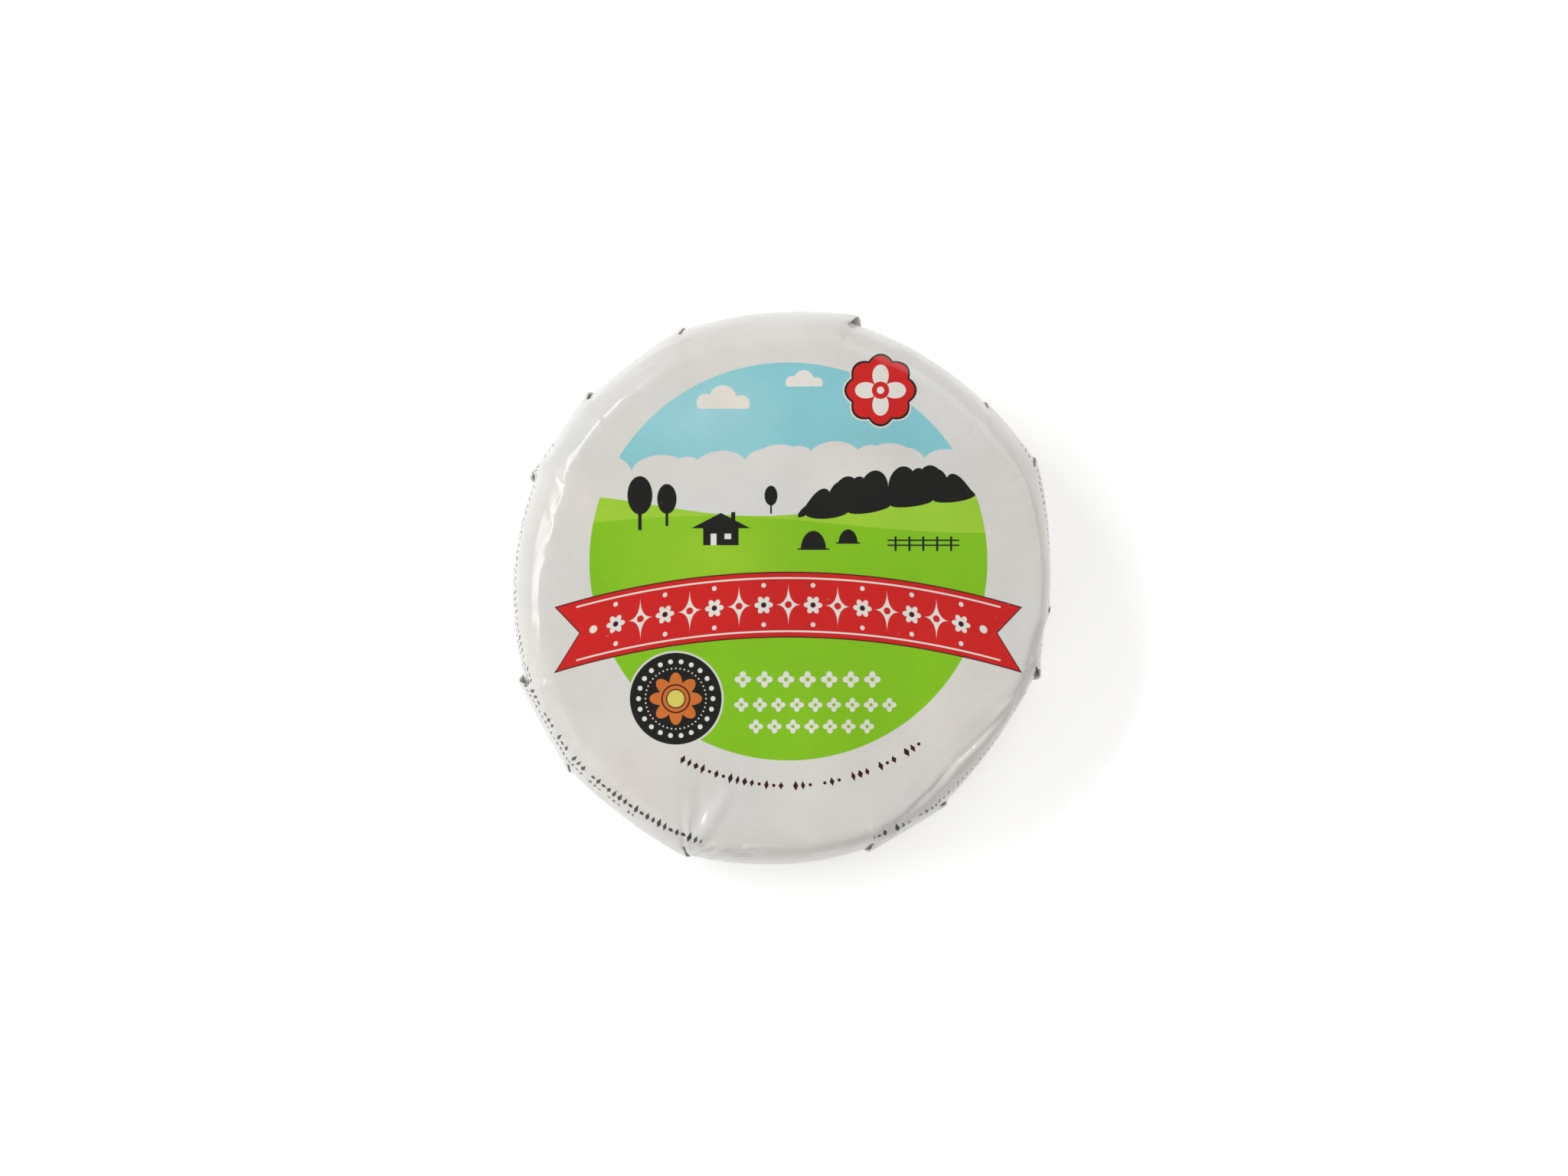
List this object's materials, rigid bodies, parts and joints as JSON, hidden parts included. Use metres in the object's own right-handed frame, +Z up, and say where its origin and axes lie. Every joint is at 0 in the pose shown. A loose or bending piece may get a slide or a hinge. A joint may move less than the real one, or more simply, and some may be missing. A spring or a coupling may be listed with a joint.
{
  "type": "wrapped soft cheese wheel",
  "caption": "Low round soft cheese shut in glossy printed paper that is folded down its side in lapped pleats and tucked flat underneath.",
  "frame": {"origin": "middle of the underside, which rests on Z = 0: the centre of the bounding box's bottom", "axes": "+Z up through the flat round face, +Y towards the top of the printed design, +X to its right"},
  "size_m": [0.1424, 0.146, 0.034],
  "materials": {
    "wrap_paper": "smooth coated paper with a soft gloss, printed in flat colours"
  },
  "bodies": {
    "root": {"wrapped_cheese": "wrap_paper"}
  },
  "joints": []
}
